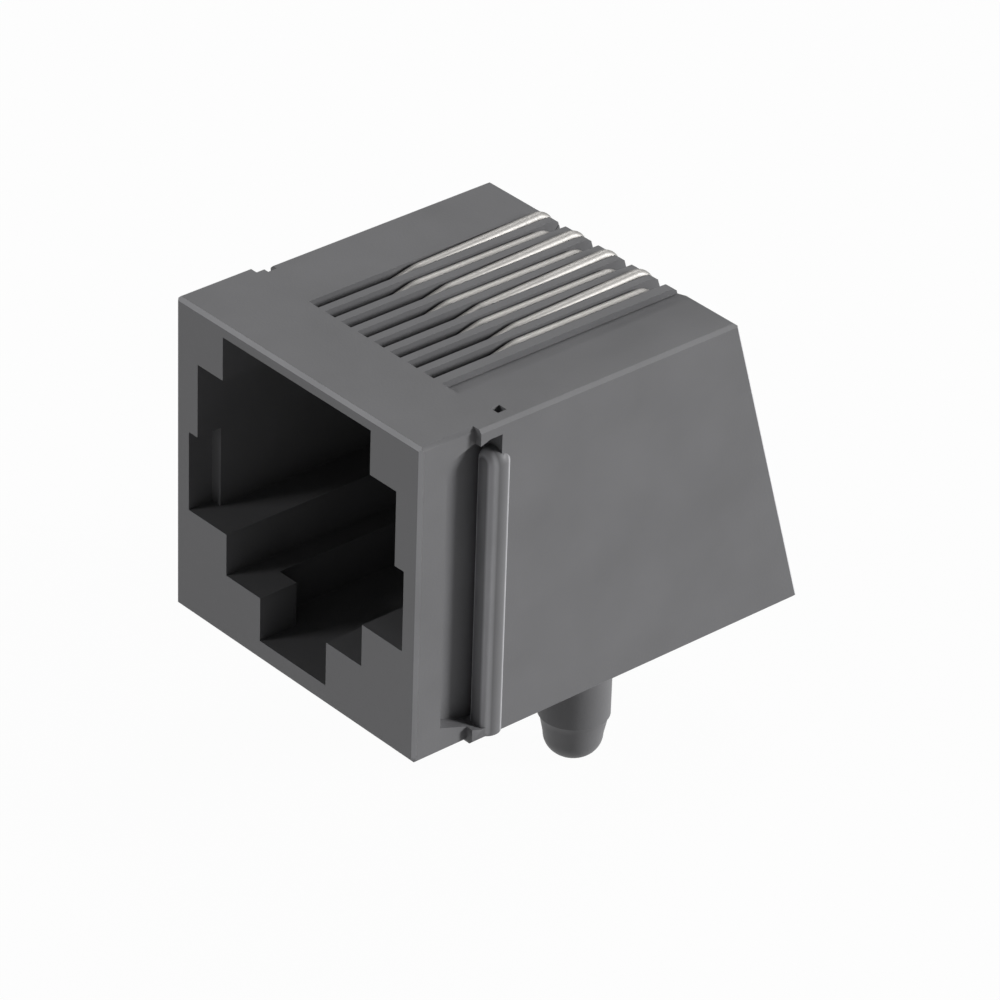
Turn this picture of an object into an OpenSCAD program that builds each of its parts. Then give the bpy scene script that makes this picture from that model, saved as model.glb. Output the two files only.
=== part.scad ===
// Side-entry board jack for an eight-way modular plug: one moulded housing and eight formed contact wires.
// Millimetres. The origin lies on the board, midway between the two locating pegs; -Y is the plug side.

/* [Plug opening] */
// Width of the opening that takes the plug's body
plug_w = 12.4; // [12:0.05:13]
// Height of the opening that takes the plug's body
plug_h = 7.1; // [6.8:0.05:7.6]
// Depth from the front face to the comb that guides the contact tips
plug_depth = 11.4; // [10.8:0.1:12]
// Height of the contact window above the plug's body
window_h = 2; // [1.8:0.05:2.4]
// Clear width of the window beyond a centred row of contact slots, on each side
window_margin = 0.73; // [0.3:0.01:1.2]
// Depth of the shallow relief cut into each side of the opening
relief_depth = 1.2; // [0.8:0.1:1.3]
// How far each side relief widens the opening
relief_step = 0.56; // [0.3:0.01:0.7]
// Height of each side relief above the plug floor
relief_h = 3.7; // [3:0.1:4.5]

/* [Latch] */
// Width of the step below the plug's body
latch_step_w = 8.6; // [7:0.1:9.5]
// Height of the step below the plug's body
latch_step_h = 1.95; // [1.6:0.05:2.4]
// Width of the slot that passes the plug's latch
latch_slot_w = 4.2; // [4:0.05:4.8]
// Height of the slot that passes the plug's latch
latch_slot_h = 2.05; // [1.8:0.05:2.4]
// Thickness of the front wall that the latch catches behind
catch_wall = 1.9; // [1.5:0.05:2.4]
// Width of the pocket behind the catch wall
catch_pocket_w = 6.4; // [5.6:0.1:7]
// Depth of the latch pocket, measured from the front face
latch_depth = 9; // [8:0.1:9.8]

/* [Walls] */
// Thickness of the side walls beside the plug's body
side_wall = 1.42; // [1.35:0.01:1.8]
// Thickness of the floor under the latch slot
floor_t = 0.95; // [0.8:0.05:1.3]
// Thickness of the top wall over the contact window
top_wall = 0.55; // [0.45:0.05:0.8]
// Break on the moulded edges
edge_break = 0.15; // [0.08:0.01:0.2]

/* [Front frame] */
// Depth of the frame round the opening
frame_depth = 3.75; // [3.4:0.05:4]
// Sideways offset of the body behind the frame
body_shift = 0.35; // [0.2:0.01:0.4]

/* [Side key] */
// Distance from the front face to the front edge of the key pocket
key_front = 1.35; // [1.1:0.05:1.8]
// Depth of the key pocket below the frame's side
key_pocket_depth = 0.75; // [0.5:0.05:0.8]
// Radius of the round key rib
key_rib_r = 0.62; // [0.5:0.01:0.7]
// How far the key rib stands proud of the body's side
key_rib_proud = 0.18; // [0.1:0.01:0.25]
// Distance from the frame's rear face back to the middle of the key rib
key_rib_setback = 0.1; // [0:0.01:0.2]
// Length of the ramp down into the key pocket
key_ramp = 0.5; // [0.3:0.05:0.7]
// Distance from the pocket's deep end to the board and to the top face
key_end_margin = 0.55; // [0.4:0.05:0.9]
// Rise of the pocket's slanted ends
key_end_slant = 0.65; // [0.3:0.05:0.9]
// Distance from the top face to the top of the key rib
key_rib_drop = 1.25; // [1.1:0.05:1.8]
// Width of the vent notch above each key rib
vent_w = 0.45; // [0.3:0.05:0.5]
// Distance from the middle of each key rib back to its vent notch
vent_setback = 0.3; // [0.2:0.05:0.5]

/* [Contact wires] */
// Diameter of the contact wire
wire_d = 0.5; // [0.44:0.01:0.52]
// Spacing of the contacts where the plug meets them
contact_pitch = 1.016; // [1:0.001:1.05]
// Sideways offset of the contacts from the middle of the opening
contact_shift = -0.12; // [-0.2:0.01:0.2]
// Spacing of the solder tails across the jack
tail_pitch = 1.27; // [1.2:0.01:1.3]
// Length of the solder tails below the board's face
tail_len = 2.5; // [2.2:0.05:3.4]
// Diameter of each solder tail's blunt point
tail_point_d = 0.25; // [0.15:0.01:0.35]
// Length of the taper to each solder tail's point
tail_taper = 0.4; // [0.3:0.05:0.8]
// Slope of the contact fingers inside the opening, in degrees
finger_slope = 21; // [18:0.5:23]
// Inside-to-inside bend radius, at the wire's centre, where a contact turns back into the opening
finger_bend_r = 0.75; // [0.65:0.01:0.8]
// Bend radius, at the wire's centre, over the rear top edge
edge_bend_r = 0.8; // [0.6:0.01:0.9]
// Bend radius, at the wire's centre, of the shallow bends
soft_bend_r = 1.5; // [1:0.1:2]
// Depth of the contacts' centres below the top face behind the open slots
groove_sink = 0.26; // [0.2:0.01:0.32]
// Depth of the outer contacts' centres below the top face at the rear edge
outer_edge_sink = 0.03; // [0:0.01:0.15]
// Depth of the outer contacts' centres below the rear slope
slope_sink = 0.05; // [0:0.01:0.15]
// Distance that the inner contacts turn down in front of the inner row of solder tails
inner_edge_setback = 0.95; // [0.8:0.05:1.2]
// Height above the board where the inner contacts straighten
inner_straighten_z = 1.2; // [0.8:0.1:2]
// Distance from the rear end of the open slots forward to the outer contacts' dive
outer_dive = 0.1; // [0.05:0.05:0.4]
// Distance from the rear end of the open slots forward to the inner contacts' dive
inner_dive = 1; // [0.6:0.1:1.4]
// Distance that the corner where the contacts turn back stands in front of the open slots
turn_overhang = 1.62; // [1.5:0.01:1.7]
// Depth that the finger tips' centres reach into the comb
tip_reach = 1.2; // [0.8:0.05:1.3]
// Height of the finger tips' centres above the comb's lower edge
tip_rise = 0.62; // [0.5:0.01:0.8]

/* [Contact slots] */
// Width of the slots and grooves that hold the contact wires
slot_w = 0.62; // [0.6:0.01:0.7]
// Gap between a wire and the floor of its groove
slot_gap = 0.03; // [0.02:0.01:0.06]
// Distance from the frame's rear face to the open slots
slot_setback = 0.15; // [0.1:0.05:0.4]
// Length of the open slots in the top wall
slot_len = 5.5; // [5.2:0.1:5.8]
// Depth of the comb that guides the contact tips
comb_depth = 1.8; // [1.4:0.1:2.2]
// Height of the comb's lower edge above the plug floor
comb_clearance = 3.25; // [2.8:0.05:3.5]
// Distance from the last groove to the shallow ramp beside it
ramp_gap = 0.5; // [0.2:0.05:0.6]
// Width of the shallow ramp beside the last groove
ramp_w = 1.1; // [0.8:0.05:1.3]
// Depth of the shallow ramp beside the last groove
ramp_depth = 0.3; // [0.1:0.01:0.35]

/* [Board side] */
// Spacing of the locating pegs
peg_spacing = 11.43; // [11:0.01:11.5]
// Diameter of the locating pegs
peg_d = 3.05; // [2.9:0.01:3.1]
// Distance from the front face to the pegs
peg_setback = 10.3; // [10:0.05:10.8]
// Length of the straight part of each peg
peg_straight = 2.6; // [2:0.05:3]
// Length of the tapered nose of each peg
peg_nose = 2; // [1.6:0.05:2.4]
// Depth of the ring round each peg above its nose
peg_ring = 0.08; // [0.05:0.01:0.12]
// Distance from the pegs to the inner row of solder tails
first_row = 6.35; // [6.2:0.05:6.6]
// Distance between the two rows of solder tails
row_gap = 2.54; // [2.4:0.01:2.6]
// Distance from the outer row of solder tails to the rear edge of the base
rear_margin = 1.41; // [1.2:0.01:1.8]
// Distance that the rear top edge stands in front of the inner row
top_setback = 0.35; // [0.2:0.01:0.4]
// Break on the rear side edges
rear_edge_break = 0.1; // [0.05:0.01:0.2]

/* [Hidden] */
$fn = 48;
contacts = 8;
reach = 8;
past = 1;
lap = 0.1;
bend_lap = 2;
bend_thinning = 0.01;

// Heights above the board
slot_floor_z = floor_t;
step_floor_z = slot_floor_z + latch_slot_h;
plug_floor_z = step_floor_z + latch_step_h;
plug_top_z = plug_floor_z + plug_h;
window_top_z = plug_top_z + window_h;
height = window_top_z + top_wall;
comb_z = plug_floor_z + comb_clearance;

// Places along the jack
front_y = -peg_setback;
frame_y = front_y + frame_depth;
slot_y = frame_y + slot_setback;
slot_end_y = slot_y + slot_len;
comb_y = front_y + plug_depth;
comb_end_y = comb_y + comb_depth;
outer_row_y = first_row + row_gap;
base_y = outer_row_y + rear_margin;
top_y = first_row - top_setback;

// Places across the jack
frame_x = plug_w / 2 + side_wall;
body_left_x = body_shift - frame_x;
body_right_x = body_shift + frame_x;
window_w = (contacts - 1) * contact_pitch + slot_w + 2 * window_margin;

// The rear slope, as a unit step down it and the unit step out of it
slope = [0, base_y - top_y, -height] / norm([base_y - top_y, height]);
slope_out = [0, -slope[2], slope[1]];

// The finger's line, shared by all contacts, as [y, z]
finger_tip = [comb_y + tip_reach, comb_z + tip_rise];
turn_y = slot_y - turn_overhang;
turn = [turn_y, finger_tip[1] + (finger_tip[0] - turn_y) * tan(finger_slope)];

function contact_x(i) = contact_shift + (i - (contacts + 1) / 2) * contact_pitch;
function tail_x(i) = contact_shift + (i - (contacts + 1) / 2) * tail_pitch;
function is_outer(i) = i % 2 == 1;
function unit(v) = v / norm(v);

// Corners of one contact's centre line, from its solder tail to its tip
function corners(i) =
    let (outer = is_outer(i))
    let (drop = slope[1] / -slope[2])
    let (sunk_y = top_y - slope_sink / slope_out[1])
    let (row = outer ? outer_row_y : first_row)
    let (straight_z = outer ? height - (outer_row_y - sunk_y) / drop : inner_straighten_z)
    let (edge_y = outer ? sunk_y + outer_edge_sink * drop : first_row - inner_edge_setback)
    let (edge_z = height - (outer ? outer_edge_sink : groove_sink))
    let (dive_y = slot_end_y - (outer ? outer_dive : inner_dive))
    [
        [tail_x(i), row, -tail_len],
        [tail_x(i), row, straight_z],
        [contact_x(i), edge_y, edge_z],
        [contact_x(i), dive_y, height - groove_sink],
        [contact_x(i), turn[0], turn[1]],
        [contact_x(i), finger_tip[0], finger_tip[1]],
    ];
bend_radii = [0, soft_bend_r, edge_bend_r, soft_bend_r, finger_bend_r, 0];

// Length of straight wire that a bend takes up on each side of its corner
function bend_take(path, k) =
    bend_radii[k] == 0 ? 0 :
    let (into = unit(path[k] - path[k - 1]))
    let (out = unit(path[k + 1] - path[k]))
    bend_radii[k] * tan(acos(into * out) / 2);

// Cuts each corner of a polygon by its own distance
function cut_corners(points, cuts) = [
    for (k = [0 : len(points) - 1])
        let (p = points[k])
        let (before = points[(k + len(points) - 1) % len(points)])
        let (after = points[(k + 1) % len(points)])
        for (q = cuts[k] == 0 ? [p] : [p + unit(before - p) * cuts[k], p + unit(after - p) * cuts[k]])
            q
];

// Moves its children to p, with their Z along dir and their X across the jack
module along(p, dir) {
    z = unit(dir);
    x = unit([1, 0, 0] - z[0] * z);
    y = cross(z, x);
    multmatrix([
        [x[0], y[0], z[0], p[0]],
        [x[1], y[1], z[1], p[1]],
        [x[2], y[2], z[2], p[2]],
        [0, 0, 0, 1],
    ])
        children();
}

// An outline drawn in Y and Z, extruded from x0 to x1
module side_profile(points, x0, x1) {
    translate([x0, 0, 0])
        rotate([90, 0, 90])
            linear_extrude(x1 - x0)
                polygon(points);
}

// An outline drawn in X and Z, extruded from y0 to y1
module front_profile(points, y0, y1) {
    translate([0, y1, 0])
        rotate([90, 0, 0])
            linear_extrude(y1 - y0)
                polygon(points);
}

module box(low, high) {
    translate(low)
        cube(high - low);
}

function rectangle(x0, x1, z0, z1) = [[x0, z0], [x1, z0], [x1, z1], [x0, z1]];

// The frame round the opening, with its front and long edges broken
module front_frame() {
    c = edge_break;
    intersection() {
        front_profile(cut_corners(rectangle(-frame_x, frame_x, 0, height), [c, c, c, c]), front_y, frame_y);
        side_profile(cut_corners(rectangle(front_y, frame_y, 0, height), [c, 0, 0, c]), -frame_x, frame_x);
        linear_extrude(height)
            polygon(cut_corners(rectangle(-frame_x, frame_x, front_y, frame_y), [c, c, 0, 0]));
    }
}

// The body behind the frame, sloping down at the rear
module body() {
    c = edge_break;
    side = [[front_y + c, 0], [base_y, 0], [top_y, height], [front_y + c, height]];
    intersection() {
        side_profile(cut_corners(side, [0, c, c, 0]), body_left_x, body_right_x);
        front_profile(cut_corners(rectangle(body_left_x, body_right_x, 0, height), [c, c, c, c]),
            frame_y - past, base_y + past);
        rear_edges();
    }
}

// Trims the body's rear side edges along the slope
module rear_edges() {
    c = rear_edge_break;
    long = height + 2 * reach;
    along([0, top_y, height] - slope * reach, slope)
        translate([0, -reach, 0])
            linear_extrude(long)
                polygon(cut_corners([[body_left_x, reach], [body_right_x, reach], [body_right_x, 6 * reach],
                    [body_left_x, 6 * reach]], [c, c, 0, 0]));
}

// Pocket in one side of the frame, deepest beside the key rib
module key_pocket(side_x, rib_y) {
    low = key_end_margin;
    high = height - key_end_margin;
    pocket_front = front_y + key_front;
    ramp_end = pocket_front + key_ramp;
    slant_end = rib_y - key_rib_r;
    intersection() {
        linear_extrude(height)
            polygon([[side_x + past, pocket_front], [side_x, pocket_front],
                [side_x - key_pocket_depth, ramp_end], [side_x - key_pocket_depth, rib_y],
                [side_x + past, rib_y]]);
        side_profile([[pocket_front, low + key_end_slant], [slant_end, low], [rib_y, low], [rib_y, high],
            [slant_end, high], [pocket_front, high - key_end_slant]], side_x - 2 * past, side_x + 2 * past);
    }
}

// Round key rib with a domed top
module key_rib(rib_x, rib_y) {
    top = height - key_rib_drop - key_rib_r;
    translate([rib_x, rib_y, edge_break]) {
        cylinder(r = key_rib_r, h = top - edge_break);
        translate([0, 0, top - edge_break])
            sphere(r = key_rib_r);
    }
}

module peg() {
    r = peg_d / 2;
    shoulder = r - peg_ring;
    dome_r = peg_nose / 2;
    taper_end = -peg_straight - peg_nose / 2;
    rotate_extrude() {
        polygon([[0, past], [r, past], [r, -peg_straight], [shoulder, -peg_straight - peg_ring],
            [(r + dome_r) / 2, taper_end], [0, taper_end]]);
        translate([0, taper_end])
            intersection() {
                translate([(r + dome_r) / 2 - dome_r, 0])
                    circle(r = dome_r);
                translate([0, -dome_r])
                    square([r, dome_r]);
            }
        translate([0, taper_end - dome_r])
            square([(r + dome_r) / 2 - dome_r, dome_r]);
    }
}

// The stepped opening for the plug and its latch
module opening() {
    out = front_y - past;
    half = plug_w / 2;
    box([-half, out, plug_floor_z], [half, comb_y, plug_top_z]);
    box([-half, out, plug_floor_z], [half, comb_end_y, comb_z]);
    box([-window_w / 2, out, plug_top_z - lap], [window_w / 2, slot_end_y, window_top_z]);
    box([-half - relief_step, out, plug_floor_z],
        [half + relief_step, front_y + relief_depth, plug_floor_z + relief_h]);
    box([-latch_step_w / 2, out, step_floor_z], [latch_step_w / 2, comb_y, plug_floor_z + lap]);
    box([-latch_slot_w / 2, out, slot_floor_z],
        [latch_slot_w / 2, front_y + latch_depth, step_floor_z + lap]);
    box([-catch_pocket_w / 2, front_y + catch_wall, slot_floor_z],
        [catch_pocket_w / 2, front_y + latch_depth, step_floor_z + lap]);
}

// A slot that holds a straight stretch of wire from a to b, open to the outside
module slot_along(a, b, over = 3 * lap) {
    along(a - unit(b - a) * over, b - a)
        translate([-slot_w / 2, -reach, 0])
            cube([slot_w, reach + wire_d / 2 + slot_gap, norm(b - a) + 2 * over]);
}

// Everything that one contact needs cut from the housing
module contact_slots(i) {
    path = corners(i);
    x = contact_x(i);
    take = bend_take(path, 2);
    edge_in = path[2] + unit(path[3] - path[2]) * take;
    edge_out = path[2] + unit(path[1] - path[2]) * take;
    box([x - slot_w / 2, slot_y, window_top_z - lap], [x + slot_w / 2, slot_end_y + lap / 10, height + past]);
    box([x - slot_w / 2, comb_y - lap, comb_z - lap], [x + slot_w / 2, comb_end_y, plug_top_z]);
    slot_along(path[3], path[2], over = 0);
    slot_along(edge_in, edge_out, over = 0);
    slot_along(path[2], path[1]);
    slot_along(path[1], path[0]);
}

// Shallow ramp beside the last groove
module groove_ramp() {
    low_x = contact_x(contacts) + slot_w / 2 + ramp_gap;
    front_profile([[low_x, height + past], [low_x, height - ramp_depth], [low_x + ramp_w, height],
        [low_x + ramp_w, height + past]], slot_y, top_y + past);
}

module housing() {
    rib_y = frame_y + key_rib_setback;
    right_rib_x = body_right_x + key_rib_proud - key_rib_r;
    left_rib_x = key_rib_r - frame_x;
    color("#4b4b4d")
        difference() {
            union() {
                difference() {
                    union() {
                        front_frame();
                        body();
                    }
                    key_pocket(frame_x, rib_y);
                    mirror([1, 0, 0])
                        key_pocket(frame_x, rib_y);
                    for (x = [frame_x - key_pocket_depth, key_pocket_depth - vent_w - frame_x])
                        box([x, rib_y + vent_setback, height - key_end_margin - lap],
                            [x + vent_w, rib_y + vent_setback + vent_w, height + past]);
                }
                key_rib(right_rib_x, rib_y);
                key_rib(left_rib_x, rib_y);
                for (x = [-peg_spacing / 2, peg_spacing / 2])
                    translate([x, 0, 0])
                        peg();
            }
            opening();
            for (i = [1 : contacts])
                contact_slots(i);
            groove_ramp();
        }
}

// One bend of wire at corner k of a path, run a little way into the straights on both sides
module wire_bend(path, k) {
    into = unit(path[k] - path[k - 1]);
    out = unit(path[k + 1] - path[k]);
    inward = unit(out - (out * into) * into);
    start = path[k] - into * bend_take(path, k);
    centre = start + inward * bend_radii[k];
    x = -inward;
    y = into;
    z = cross(x, y);
    multmatrix([
        [x[0], y[0], z[0], centre[0]],
        [x[1], y[1], z[1], centre[1]],
        [x[2], y[2], z[2], centre[2]],
        [0, 0, 0, 1],
    ])
        rotate([0, 0, -bend_lap])
            rotate_extrude(angle = acos(into * out) + 2 * bend_lap)
                translate([bend_radii[k], 0])
                    circle(d = wire_d - bend_thinning, $fn = 24);
}

// Formed round wire: straight stretches joined by true bends, with a tapered tail and a rounded tip
module contact(i) {
    path = corners(i);
    last = len(path) - 1;
    color("#c9c6bd") {
        for (k = [1 : last - 1]) {
            dir = unit(path[k + 1] - path[k]);
            from = path[k] + dir * bend_take(path, k);
            to = path[k + 1] - dir * bend_take(path, k + 1);
            along(from, dir)
                cylinder(d = wire_d, h = norm(to - from), $fn = 24);
            wire_bend(path, k);
        }
        translate(path[0])
            tail(norm(path[1] - path[0]) - bend_take(path, 1));
        translate(path[last])
            sphere(d = wire_d - bend_thinning, $fn = 24);
    }
}

// Straight upright end of a wire, with a tapered point
module tail(length) {
    r = wire_d / 2;
    rotate_extrude($fn = 24)
        polygon([[0, 0], [tail_point_d / 2, 0], [r, tail_taper], [r, length], [0, length]]);
}

housing();
contact(1);  // contact_1
contact(2);  // contact_2
contact(3);  // contact_3
contact(4);  // contact_4
contact(5);  // contact_5
contact(6);  // contact_6
contact(7);  // contact_7
contact(8);  // contact_8
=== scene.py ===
"""Looks for the board jack: smooth moulded housing, formed contact wires, stage, lamps and camera.

Everything is in metres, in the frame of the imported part: the origin lies on the board midway between the
pegs, +Z points up and the plug comes in along +Y.
"""

import math
from typing import NamedTuple

import bmesh
import bpy
from mathutils import Matrix, Vector


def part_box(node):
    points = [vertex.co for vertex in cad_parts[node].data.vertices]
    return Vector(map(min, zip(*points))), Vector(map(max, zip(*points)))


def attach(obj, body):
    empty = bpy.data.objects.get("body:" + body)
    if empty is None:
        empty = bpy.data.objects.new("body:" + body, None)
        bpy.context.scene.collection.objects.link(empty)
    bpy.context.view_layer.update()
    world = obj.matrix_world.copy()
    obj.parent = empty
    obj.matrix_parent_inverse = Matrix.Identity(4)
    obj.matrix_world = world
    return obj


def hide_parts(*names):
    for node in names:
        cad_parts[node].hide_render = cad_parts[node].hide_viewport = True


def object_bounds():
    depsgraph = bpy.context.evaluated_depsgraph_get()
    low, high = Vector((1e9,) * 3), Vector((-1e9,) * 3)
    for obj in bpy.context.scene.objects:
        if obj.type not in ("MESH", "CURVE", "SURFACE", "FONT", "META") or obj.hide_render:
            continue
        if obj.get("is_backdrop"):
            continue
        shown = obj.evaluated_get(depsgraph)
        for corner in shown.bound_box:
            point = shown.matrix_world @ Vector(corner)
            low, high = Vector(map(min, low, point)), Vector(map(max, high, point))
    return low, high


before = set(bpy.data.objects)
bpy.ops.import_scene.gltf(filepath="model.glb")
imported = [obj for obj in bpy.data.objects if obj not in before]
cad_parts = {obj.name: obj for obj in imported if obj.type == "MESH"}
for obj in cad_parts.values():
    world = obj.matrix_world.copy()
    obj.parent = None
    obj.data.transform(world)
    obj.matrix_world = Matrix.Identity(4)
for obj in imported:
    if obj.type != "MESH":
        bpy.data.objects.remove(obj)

bl_info = {
    "name": "Board jack",
    "version": (1, 0, 0),
    "blender": (4, 5, 0),
    "location": "3D Viewport > Sidebar > Board jack",
    "description": "Builds the housing, contact wires and studio stage of a board jack",
    "category": "Add Mesh",
}

MM = 0.001
BODY = "root"
CONTACTS = 8
HOUSING_REAR_Y, HOUSING_TOP_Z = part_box("housing")[1][1:]
# Where the rear slope meets the top face, behind the pegs
REAR_TOP_Y = 6.0 * MM

# Points closer than this are one point
WELD_DISTANCE = 0.0005 * MM
# Faces that meet at less than this angle are one flat face
FLAT_ANGLE = math.radians(0.5)
# Segments across each rounded edge of the housing
EDGE_SEGMENTS = 2
# Rings in the dome that closes a wire's tip, and the fewest steps in a bend
DOME_RINGS = 5
FEWEST_BEND_STEPS = 3

# Most of a noise mask's values lie between these two
NOISE_SPAN = (0.3, 0.7)
# Places of the colour inputs and of the colour result on a Mix node set to RGBA
MIX_DARK, MIX_LIGHT, MIX_RESULT = 6, 7, 2
WHITE = (1, 1, 1, 1)

WORLD_LEVEL = 0.08
SENSOR_WIDTH = 36.0
CLIP_START = 0.01


class Lamp(NamedTuple):
    """Distant soft lamp: the way to it, its level and its angular width.

    Level 1 lights a white face square to the lamp to white.
    """

    name: str
    towards: tuple
    level: float
    spread: float


LAMPS = (
    Lamp("top_lamp", towards=(-0.30, 0.57, 0.76), level=0.42, spread=math.radians(30)),
    Lamp("side_lamp", towards=(0.66, 0.68, 0.31), level=1.08, spread=math.radians(16)),
    Lamp("front_lamp", towards=(-0.42, -0.85, 0.32), level=0.29, spread=math.radians(18)),
)


class MouldingSizes(bpy.types.PropertyGroup):
    """Edge softening of the moulded housing."""

    edge_radius: bpy.props.FloatProperty(
        name="Edge radius", description="Rounding of the moulded edges", default=0.05 * MM, unit="LENGTH",
        precision=6,
    )
    sharp_angle: bpy.props.FloatProperty(
        name="Sharp angle",
        description="Faces that meet at more than this angle get a rounded edge",
        default=math.radians(40),
        subtype="ANGLE",
    )
    smooth_angle: bpy.props.FloatProperty(
        name="Smooth angle",
        description="Faces that meet at less than this angle shade as one surface",
        default=math.radians(30),
        subtype="ANGLE",
    )
    colour: bpy.props.FloatVectorProperty(
        name="Housing colour", description="Colour of the moulding", default=(0.135, 0.135, 0.14), size=3,
        subtype="COLOR",
    )


class WireSizes(bpy.types.PropertyGroup):
    """Sizes of the formed contact wires."""

    diameter: bpy.props.FloatProperty(
        name="Diameter", description="Wire diameter", default=0.5 * MM, unit="LENGTH", precision=6
    )
    pitch: bpy.props.FloatProperty(
        name="Pitch", description="Spacing at the plug", default=1.016 * MM, unit="LENGTH", precision=6
    )
    shift: bpy.props.FloatProperty(
        name="Shift", description="Sideways offset of the contacts from the middle of the opening",
        default=-0.12 * MM, unit="LENGTH", precision=6,
    )
    tail_pitch: bpy.props.FloatProperty(
        name="Tail pitch", description="Spacing of the solder tails", default=1.27 * MM, unit="LENGTH",
        precision=6,
    )
    tail_point: bpy.props.FloatProperty(
        name="Tail point", description="Diameter of each solder tail's blunt point", default=0.25 * MM,
        unit="LENGTH", precision=6,
    )
    tail_taper: bpy.props.FloatProperty(
        name="Tail taper", description="Length of the taper to each solder tail's point", default=0.4 * MM,
        unit="LENGTH", precision=6,
    )
    tip_height: bpy.props.FloatProperty(
        name="Tip height", description="Height of the finger tips' centres above the board",
        default=8.82 * MM, unit="LENGTH", precision=6,
    )
    tip_depth: bpy.props.FloatProperty(
        name="Tip depth", description="Place of the finger tips behind the pegs", default=2.3 * MM,
        unit="LENGTH", precision=6,
    )
    turn_depth: bpy.props.FloatProperty(
        name="Turn depth", description="Place of the turn back into the opening, in front of the pegs",
        default=8.02 * MM, unit="LENGTH", precision=6,
    )
    groove_sink: bpy.props.FloatProperty(
        name="Groove sink", description="Depth of the wires' centres where they leave the open slots",
        default=0.26 * MM, unit="LENGTH", precision=6,
    )
    edge_sink: bpy.props.FloatProperty(
        name="Edge sink", description="Depth of the outer wires' centres below the top face at the rear edge",
        default=0.03 * MM, unit="LENGTH", precision=6,
    )
    slope_sink: bpy.props.FloatProperty(
        name="Slope sink", description="Depth of the outer wires' centres below the rear slope",
        default=0.05 * MM, unit="LENGTH", precision=6,
    )
    outer_dive: bpy.props.FloatProperty(
        name="Outer dive", description="Where the outer wires dive, in front of the pegs", default=1.0 * MM,
        unit="LENGTH", precision=6,
    )
    inner_dive: bpy.props.FloatProperty(
        name="Inner dive", description="Where the inner wires dive, in front of the pegs", default=1.9 * MM,
        unit="LENGTH", precision=6,
    )
    inner_setback: bpy.props.FloatProperty(
        name="Inner setback", description="How far in front of their tails the inner wires turn down",
        default=0.95 * MM, unit="LENGTH", precision=6,
    )
    inner_straighten: bpy.props.FloatProperty(
        name="Inner straighten", description="Height where the inner wires straighten", default=1.2 * MM,
        unit="LENGTH", precision=6,
    )
    finger_slope: bpy.props.FloatProperty(
        name="Finger slope", description="Slope of the fingers inside the opening", default=math.radians(21),
        subtype="ANGLE",
    )
    finger_bend: bpy.props.FloatProperty(
        name="Finger bend", description="Radius of the turn back into the opening", default=0.75 * MM,
        unit="LENGTH", precision=6,
    )
    edge_bend: bpy.props.FloatProperty(
        name="Edge bend", description="Radius of the bend over the rear top edge", default=0.8 * MM,
        unit="LENGTH", precision=6,
    )
    soft_bend: bpy.props.FloatProperty(
        name="Soft bend", description="Radius of the shallow bends", default=1.5 * MM, unit="LENGTH",
        precision=6,
    )
    sides: bpy.props.IntProperty(name="Sides", description="Sides round the wire", default=28, min=8)
    bend_step: bpy.props.FloatProperty(
        name="Bend step", description="Turn taken by each step of a bend", default=math.radians(6),
        subtype="ANGLE",
    )
    smooth_angle: bpy.props.FloatProperty(
        name="Smooth angle",
        description="Faces that meet at less than this angle shade as one surface",
        default=math.radians(40),
        subtype="ANGLE",
    )
    colour: bpy.props.FloatVectorProperty(
        name="Wire colour", description="Colour of the plating", default=(0.40, 0.39, 0.375), size=3,
        subtype="COLOR",
    )


class StageSettings(bpy.types.PropertyGroup):
    """Floor, lamps and camera."""

    floor_size: bpy.props.FloatProperty(
        name="Floor size", description="Width of the square floor", default=20.0, unit="LENGTH"
    )
    floor_white: bpy.props.FloatProperty(
        name="Floor white", description="Share of the floor that shows as pure white, without its shading",
        default=0.97, subtype="FACTOR", min=0.0, max=1.0,
    )
    azimuth: bpy.props.FloatProperty(
        name="Azimuth", description="Camera's turn from the plug side", default=math.radians(48.17),
        subtype="ANGLE",
    )
    elevation: bpy.props.FloatProperty(
        name="Elevation", description="Camera's height as an angle", default=math.radians(31.46),
        subtype="ANGLE",
    )
    roll: bpy.props.FloatProperty(
        name="Roll", description="Camera's turn about its line of sight", default=math.radians(1.91),
        subtype="ANGLE",
    )
    distance: bpy.props.FloatProperty(
        name="Distance", description="From the camera to its target", default=246.0 * MM, unit="LENGTH"
    )
    target: bpy.props.FloatVectorProperty(
        name="Target", description="Point the camera looks at", default=(-0.74 * MM, 1.32 * MM, 3.92 * MM),
        size=3, subtype="TRANSLATION",
    )
    lens: bpy.props.FloatProperty(
        name="Lens", description="Focal length in millimetres", default=214.2, unit="CAMERA"
    )


# --- materials ---


def new_material(name):
    """A node material, its nodes and links, and its main shader."""
    material = bpy.data.materials.new(name)
    material.use_nodes = True
    nodes, links = material.node_tree.nodes, material.node_tree.links
    return material, nodes, links, nodes["Principled BSDF"]


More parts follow.
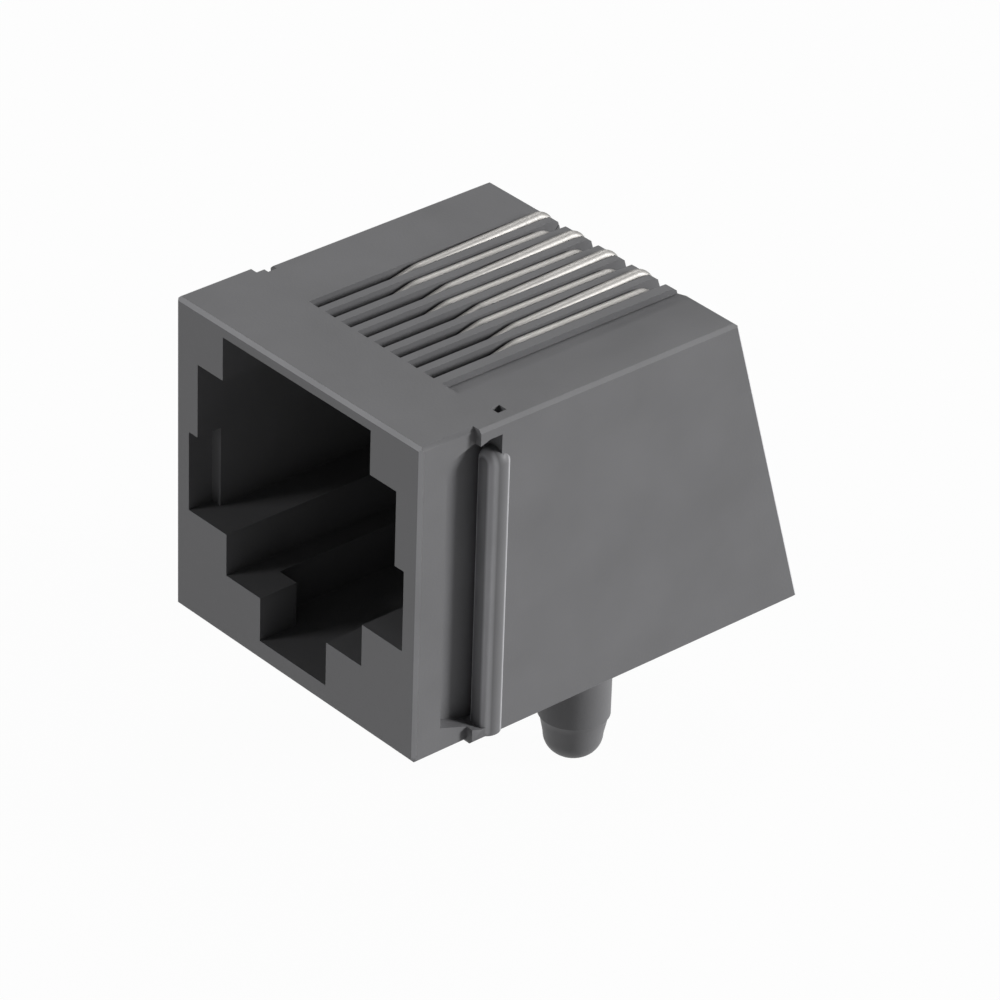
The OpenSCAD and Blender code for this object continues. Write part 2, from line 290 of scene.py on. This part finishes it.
def fine_variation_group():
    """Two masks on object coordinates: a slow mottle and a fine grain."""
    group = bpy.data.node_groups.new("fine_variation", "ShaderNodeTree")
    add = group.interface.new_socket
    add(name="Mottle Scale", in_out="INPUT", socket_type="NodeSocketFloat").default_value = 300.0
    add(name="Grain Scale", in_out="INPUT", socket_type="NodeSocketFloat").default_value = 9000.0
    add(name="Mottle", in_out="OUTPUT", socket_type="NodeSocketFloat")
    add(name="Grain", in_out="OUTPUT", socket_type="NodeSocketFloat")
    nodes, links = group.nodes, group.links
    inputs, outputs = nodes.new("NodeGroupInput"), nodes.new("NodeGroupOutput")
    place = nodes.new("ShaderNodeTexCoord")
    for socket, detail in (("Mottle", 3.0), ("Grain", 2.0)):
        noise = nodes.new("ShaderNodeTexNoise")
        noise.inputs["Detail"].default_value = detail
        noise.inputs["Roughness"].default_value = 0.55
        links.new(place.outputs["Object"], noise.inputs["Vector"])
        links.new(inputs.outputs[f"{socket} Scale"], noise.inputs["Scale"])
        links.new(noise.outputs["Fac"], outputs.inputs[socket])
    return group


def placed_group(nodes, group, mottle_scale, grain_scale):
    """The group as a node of one material, with that material's own scales."""
    node = nodes.new("ShaderNodeGroup")
    node.node_tree = group
    node.inputs["Mottle Scale"].default_value = mottle_scale
    node.inputs["Grain Scale"].default_value = grain_scale
    return node


def map_range(nodes, links, source, span, result):
    """Source mapped from one span of values onto another, and held within it."""
    node = nodes.new("ShaderNodeMapRange")
    for name, value in zip(("From Min", "From Max", "To Min", "To Max"), (*span, *result)):
        node.inputs[name].default_value = value
    links.new(source, node.inputs["Value"])
    return node.outputs["Result"]


def ranged(nodes, links, source, low, high):
    """A noise mask mapped onto low to high."""
    return map_range(nodes, links, source, NOISE_SPAN, (low, high))


def calculated(nodes, links, operation, *sources):
    """Result of a Math node fed with sockets or plain numbers."""
    node = nodes.new("ShaderNodeMath")
    node.operation = operation
    for socket, source in zip(node.inputs, sources):
        if isinstance(source, bpy.types.NodeSocket):
            links.new(source, socket)
        else:
            socket.default_value = source
    return node.outputs["Value"]


def tinted(nodes, links, source, colour, swing):
    """Colour that darkens and lightens by a share of itself with a mask."""
    mix = nodes.new("ShaderNodeMix")
    mix.data_type = "RGBA"
    links.new(ranged(nodes, links, source, low=0.0, high=1.0), mix.inputs["Factor"])
    mix.inputs[MIX_DARK].default_value = (*(c * (1 - swing) for c in colour), 1)
    mix.inputs[MIX_LIGHT].default_value = (*(c * (1 + swing) for c in colour), 1)
    return mix.outputs[MIX_RESULT]


def painted_edge_highlight(nodes, links, gain):
    """Painted highlight on edges and ribs: how much lighter their base colour is painted, 1 on most faces,
    gain on those turned askew to the plug.

    The normal's Y is 0 on the sides and the top, and about 1 or -1 on the front and the rear. The pegs, below
    the board, get no painted highlight.
    """
    place = nodes.new("ShaderNodeTexCoord")
    facing, where = nodes.new("ShaderNodeSeparateXYZ"), nodes.new("ShaderNodeSeparateXYZ")
    links.new(place.outputs["Normal"], facing.inputs["Vector"])
    links.new(place.outputs["Object"], where.inputs["Vector"])
    along_plug = calculated(nodes, links, "ABSOLUTE", facing.outputs["Y"])
    askew = map_range(nodes, links, along_plug, span=(0.35, 0.60), result=(0.0, 1.0))
    not_square = map_range(nodes, links, along_plug, span=(0.85, 0.93), result=(1.0, 0.0))
    above_board = map_range(nodes, links, where.outputs["Z"], span=(0.0, 0.3 * MM), result=(0.0, 1.0))
    edge = calculated(nodes, links, "MULTIPLY", askew, not_square)
    mask = calculated(nodes, links, "MULTIPLY", edge, above_board)
    return map_range(nodes, links, mask, span=(0.0, 1.0), result=(1.0, gain))


def moulded_plastic(group, colour):
    """Satin grey thermoplastic with a fine spark-eroded grain, and a painted highlight on its edge chamfers
    and rib.
    """
    material, nodes, links, shader = new_material("moulded_plastic")
    variation = placed_group(nodes, group, mottle_scale=260.0, grain_scale=9000.0)
    mottle = variation.outputs["Mottle"]
    painted_highlight_colour = nodes.new("ShaderNodeVectorMath")
    painted_highlight_colour.operation = "SCALE"
    links.new(tinted(nodes, links, mottle, colour, swing=0.08), painted_highlight_colour.inputs["Vector"])
    # Painted highlight: the base colour is scaled up to 3.4 times on edge chamfers and the rib, in place of
    # light catching those edges.
    links.new(painted_edge_highlight(nodes, links, gain=3.4), painted_highlight_colour.inputs["Scale"])
    links.new(painted_highlight_colour.outputs["Vector"], shader.inputs["Base Color"])
    links.new(ranged(nodes, links, mottle, low=0.50, high=0.57), shader.inputs["Roughness"])
    bump = nodes.new("ShaderNodeBump")
    bump.inputs["Strength"].default_value = 0.4
    bump.inputs["Distance"].default_value = 0.01 * MM
    links.new(variation.outputs["Grain"], bump.inputs["Height"])
    links.new(bump.outputs["Normal"], shader.inputs["Normal"])
    return material


def plated_wire(group, colour):
    """Pale plated spring wire with a soft shine."""
    material, nodes, links, shader = new_material("plated_wire")
    variation = placed_group(nodes, group, mottle_scale=900.0, grain_scale=14000.0)
    shader.inputs["Metallic"].default_value = 1.0
    tint = tinted(nodes, links, variation.outputs["Mottle"], colour, swing=0.04)
    links.new(tint, shader.inputs["Base Color"])
    roughness = ranged(nodes, links, variation.outputs["Grain"], low=0.55, high=0.65)
    links.new(roughness, shader.inputs["Roughness"])
    return material


def backdrop_paint(name, share):
    """Diffuse grey paint of which a share shows as white to the camera, to gloss and to glass."""
    material, nodes, links, shader = new_material(name)
    shader.inputs["Base Color"].default_value = (0.5, 0.5, 0.5, 1)
    shader.inputs["Roughness"].default_value = 0.9
    shader.inputs["Specular IOR Level"].default_value = 0.0
    white = nodes.new("ShaderNodeEmission")
    white.inputs["Color"].default_value = WHITE
    white.inputs["Strength"].default_value = 1.0
    path = nodes.new("ShaderNodeLightPath")
    seen = path.outputs["Is Camera Ray"]
    for other in ("Is Glossy Ray", "Is Transmission Ray"):
        seen = calculated(nodes, links, "MAXIMUM", seen, path.outputs[other])
    mix = nodes.new("ShaderNodeMixShader")
    links.new(calculated(nodes, links, "MULTIPLY", seen, share), mix.inputs[0])
    links.new(shader.outputs[0], mix.inputs[1])
    links.new(white.outputs[0], mix.inputs[2])
    links.new(mix.outputs[0], nodes["Material Output"].inputs["Surface"])
    return material


# --- pieces ---


def variation_group():
    """The node group that all materials share, made at its first use."""
    return bpy.data.node_groups.get("fine_variation") or fine_variation_group()


def finished_object(name, mesh_builder, material, smooth_angle):
    """Object at the origin from a bmesh, shaded smooth up to an angle."""
    mesh = bpy.data.meshes.new(name)
    mesh_builder.to_mesh(mesh)
    mesh_builder.free()
    mesh.materials.append(material)
    mesh.shade_smooth()
    mesh.set_sharp_from_angle(angle=smooth_angle)
    obj = bpy.data.objects.new(name, mesh)
    bpy.context.scene.collection.objects.link(obj)
    return obj


def housing_mesh(radius, sharp_angle):
    """The housing's solid, merged, rid of loose slivers, with flat faces joined and sharp edges rounded."""
    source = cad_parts["housing"]
    builder = bmesh.new()
    builder.from_mesh(source.data)
    builder.transform(source.matrix_world)
    bmesh.ops.remove_doubles(builder, verts=builder.verts, dist=WELD_DISTANCE)
    slivers = [face for face in builder.faces if any(edge.is_boundary for edge in face.edges)]
    bmesh.ops.delete(builder, geom=slivers, context="FACES")
    bmesh.ops.dissolve_limit(
        builder,
        angle_limit=FLAT_ANGLE,
        verts=builder.verts,
        edges=builder.edges,
        use_dissolve_boundaries=False,
    )
    edges = [e for e in builder.edges if e.is_manifold and e.calc_face_angle(0.0) > sharp_angle]
    bmesh.ops.bevel(
        builder,
        geom=edges,
        offset=radius,
        offset_type="OFFSET",
        affect="EDGES",
        segments=EDGE_SEGMENTS,
        profile=0.5,
        material=-1,
        clamp_overlap=True,
    )
    return builder


class JACK_OT_housing(bpy.types.Operator):
    """Make the moulded housing with softened edges"""

    bl_idname = "board_jack.housing"
    bl_label = "Housing"

    def execute(self, context):
        sizes = context.scene.jack_moulding
        builder = housing_mesh(sizes.edge_radius, sizes.sharp_angle)
        material = moulded_plastic(variation_group(), tuple(sizes.colour))
        housing = finished_object("moulded_housing", builder, material, sizes.smooth_angle)
        flat_faces = housing.modifiers.new("flat_faces", "WEIGHTED_NORMAL")
        flat_faces.mode = "FACE_AREA"
        flat_faces.weight = 100
        flat_faces.keep_sharp = True
        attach(housing, BODY)
        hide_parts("housing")
        return {"FINISHED"}


def ring_across(builder, centre, direction, radius, sides):
    """Edges of a new circle round a point, square to a direction."""
    turn = direction.to_track_quat("Z", "X").to_matrix().to_4x4()
    made = bmesh.ops.create_circle(
        builder, cap_ends=False, segments=sides, radius=radius, matrix=Matrix.Translation(centre) @ turn
    )
    return list(dict.fromkeys(edge for vert in made["verts"] for edge in vert.link_edges))


def carried_on(builder, ring, step, direction, growth=1.0):
    """Extrudes a ring by a step and scales the new ring about its own centre."""
    made = bmesh.ops.extrude_edge_only(builder, edges=ring)["geom"]
    verts = [item for item in made if isinstance(item, bmesh.types.BMVert)]
    bmesh.ops.translate(builder, verts=verts, vec=direction * step)
    centre = sum((vert.co for vert in verts), Vector()) / len(verts)
    bmesh.ops.scale(builder, verts=verts, vec=(growth,) * 3, space=Matrix.Translation(-centre))
    kept = set(verts)
    return [item for item in made if isinstance(item, bmesh.types.BMEdge) and kept.issuperset(item.verts)]


def bent_on(builder, ring, centre, axis, angle, step):
    """Spins a ring about an axis and returns its last place."""
    steps = max(FEWEST_BEND_STEPS, math.ceil(angle / step))
    made = bmesh.ops.spin(
        builder, geom=ring, cent=centre, axis=axis, dvec=(0, 0, 0), angle=angle, steps=steps, use_merge=False,
        use_duplicate=False,
    )
    return [item for item in made["geom_last"] if isinstance(item, bmesh.types.BMEdge)]


def rounded_end(builder, ring, direction, radius):
    """Closes a ring with a dome."""
    shrink = [math.cos(math.pi / 2 * k / DOME_RINGS) for k in range(DOME_RINGS)]
    rise = [math.sin(math.pi / 2 * k / DOME_RINGS) for k in range(DOME_RINGS)]
    for k in range(1, DOME_RINGS):
        step = radius * (rise[k] - rise[k - 1])
        ring = carried_on(builder, ring, step, direction, growth=shrink[k] / shrink[k - 1])
    bmesh.ops.contextual_create(builder, geom=ring)


def wire_corners(number, sizes):
    """Corners of one contact's centre line, from its solder tail to its tip, and the bend radius at each.

    Odd contacts are the outer ones: they run down the rear slope to the rear row of tails. Even contacts are
    the inner ones, which turn down in front of the inner row.
    """
    low, high = (Vector(corner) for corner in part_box(f"contact_{number}"))
    radius = sizes.diameter / 2
    place = number - (CONTACTS + 1) / 2
    contact_x, tail_x = sizes.shift + place * sizes.pitch, sizes.shift + place * sizes.tail_pitch
    row_y = high.y - radius
    height = HOUSING_TOP_Z
    turn_y = -sizes.turn_depth
    turn_z = sizes.tip_height + (sizes.tip_depth - turn_y) * math.tan(sizes.finger_slope)
    if number % 2 == 1:
        drop = (HOUSING_REAR_Y - REAR_TOP_Y) / height
        sunk_y = REAR_TOP_Y - sizes.slope_sink * math.hypot(1, drop)
        edge_y, edge_z = sunk_y + sizes.edge_sink * drop, height - sizes.edge_sink
        straight_z = height - (row_y - sunk_y) / drop
        dive_y = -sizes.outer_dive
    else:
        edge_y, edge_z = row_y - sizes.inner_setback, height - sizes.groove_sink
        straight_z = sizes.inner_straighten
        dive_y = -sizes.inner_dive
    corners = [
        Vector((tail_x, row_y, low.z)),
        Vector((tail_x, row_y, straight_z)),
        Vector((contact_x, edge_y, edge_z)),
        Vector((contact_x, dive_y, height - sizes.groove_sink)),
        Vector((contact_x, turn_y, turn_z)),
        Vector((contact_x, sizes.tip_depth, sizes.tip_height)),
    ]
    return corners, [0.0, sizes.soft_bend, sizes.edge_bend, sizes.soft_bend, sizes.finger_bend, 0.0]


def formed_wire(corners, bends, sizes):
    """Round wire bent along its corners, with a tapered tail and a rounded tip."""
    builder = bmesh.new()
    direction = (corners[1] - corners[0]).normalized()
    ring = ring_across(builder, corners[0], direction, sizes.tail_point / 2, sizes.sides)
    bmesh.ops.contextual_create(builder, geom=ring)
    ring = carried_on(builder, ring, sizes.tail_taper, direction, growth=sizes.diameter / sizes.tail_point)
    reached = corners[0] + direction * sizes.tail_taper
    for corner, following, bend in zip(corners[1:-1], corners[2:], bends[1:-1]):
        leaving = (following - corner).normalized()
        angle = direction.angle(leaving)
        start = corner - direction * bend * math.tan(angle / 2)
        ring = carried_on(builder, ring, (start - reached).length, direction)
        inward = (leaving - direction * direction.dot(leaving)).normalized()
        axis = direction.cross(leaving).normalized()
        ring = bent_on(builder, ring, start + inward * bend, axis, angle, sizes.bend_step)
        reached = corner + leaving * bend * math.tan(angle / 2)
        direction = leaving
    ring = carried_on(builder, ring, (corners[-1] - reached).length, direction)
    rounded_end(builder, ring, direction, sizes.diameter / 2)
    bmesh.ops.remove_doubles(builder, verts=builder.verts, dist=WELD_DISTANCE)
    bmesh.ops.recalc_face_normals(builder, faces=builder.faces)
    return builder


class JACK_OT_contacts(bpy.types.Operator):
    """Make the formed contact wires"""

    bl_idname = "board_jack.contacts"
    bl_label = "Contact wires"

    def execute(self, context):
        sizes = context.scene.jack_wires
        material = plated_wire(variation_group(), tuple(sizes.colour))
        for number in range(1, CONTACTS + 1):
            builder = formed_wire(*wire_corners(number, sizes), sizes)
            wire = finished_object(f"formed_contact_{number}", builder, material, sizes.smooth_angle)
            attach(wire, BODY)
            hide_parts(f"contact_{number}")
        return {"FINISHED"}


class JACK_OT_stage(bpy.types.Operator):
    """Set the floor, the lamps, the world and the camera"""

    bl_idname = "board_jack.stage"
    bl_label = "Stage"

    def execute(self, context):
        settings = context.scene.jack_stage
        self.floor(settings)
        for lamp in LAMPS:
            self.lamp(lamp)
        self.world()
        self.camera(settings)
        context.scene.view_settings.view_transform = "Standard"
        return {"FINISHED"}

    @staticmethod
    def floor(settings):
        """Wide flat floor under the pegs' tips."""
        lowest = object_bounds()[0][2]
        builder = bmesh.new()
        bmesh.ops.create_grid(builder, x_segments=1, y_segments=1, size=settings.floor_size / 2)
        bmesh.ops.translate(builder, verts=builder.verts, vec=(0, 0, lowest))
        paint = backdrop_paint("floor_paint", settings.floor_white)
        finished_object("studio_floor", builder, paint, FLAT_ANGLE)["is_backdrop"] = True

    @staticmethod
    def lamp(settings):
        """Sun lamp turned so that its light comes from the stated side."""
        data = bpy.data.lights.new(settings.name, "SUN")
        data.energy = settings.level * math.pi
        data.angle = settings.spread
        lamp = bpy.data.objects.new(settings.name, data)
        lamp.rotation_euler = (-Vector(settings.towards)).to_track_quat("-Z", "Y").to_euler()
        bpy.context.scene.collection.objects.link(lamp)
        lamp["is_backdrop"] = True

    @staticmethod
    def world():
        """Even pale surroundings."""
        world = bpy.data.worlds.new("studio")
        bpy.context.scene.world = world
        world.use_nodes = True
        dome = world.node_tree.nodes["Background"]
        dome.inputs["Color"].default_value = WHITE
        dome.inputs["Strength"].default_value = WORLD_LEVEL

    @staticmethod
    def camera(settings):
        """Camera that looks at the target, turned by its roll."""
        data = bpy.data.cameras.new("studio_camera")
        data.lens = settings.lens
        data.sensor_width = SENSOR_WIDTH
        data.clip_start = CLIP_START
        camera = bpy.data.objects.new("studio_camera", data)
        outward = Vector(
            (
                math.sin(settings.azimuth) * math.cos(settings.elevation),
                -math.cos(settings.azimuth) * math.cos(settings.elevation),
                math.sin(settings.elevation),
            )
        )
        right = (-outward).cross(Vector((0, 0, 1))).normalized()
        up = right.cross(-outward)
        turned_right = math.cos(settings.roll) * right + math.sin(settings.roll) * up
        turned_up = -math.sin(settings.roll) * right + math.cos(settings.roll) * up
        turn = Matrix((turned_right, turned_up, outward)).transposed().to_4x4()
        camera.matrix_world = Matrix.Translation(Vector(settings.target) + outward * settings.distance) @ turn
        bpy.context.scene.collection.objects.link(camera)
        bpy.context.scene.camera = camera


class JACK_PT_panel(bpy.types.Panel):
    """Lists the jack's pieces"""

    bl_idname = "JACK_PT_panel"
    bl_label = "Board jack"
    bl_space_type = "VIEW_3D"
    bl_region_type = "UI"
    bl_category = "Board jack"

    def draw(self, context):
        for operator in OPERATORS:
            self.layout.operator(operator.bl_idname)


PROPERTIES = {"jack_moulding": MouldingSizes, "jack_wires": WireSizes, "jack_stage": StageSettings}
OPERATORS = (JACK_OT_housing, JACK_OT_contacts, JACK_OT_stage)
CLASSES = (*PROPERTIES.values(), *OPERATORS, JACK_PT_panel)


def register():
    for cls in CLASSES:
        bpy.utils.register_class(cls)
    for name, group in PROPERTIES.items():
        setattr(bpy.types.Scene, name, bpy.props.PointerProperty(type=group))


def unregister():
    for name in PROPERTIES:
        delattr(bpy.types.Scene, name)
    for cls in reversed(CLASSES):
        bpy.utils.unregister_class(cls)


def main():
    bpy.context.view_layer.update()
    register()
    bpy.ops.board_jack.housing()
    bpy.ops.board_jack.contacts()
    bpy.ops.board_jack.stage()


if __name__ == "__main__":
    main()
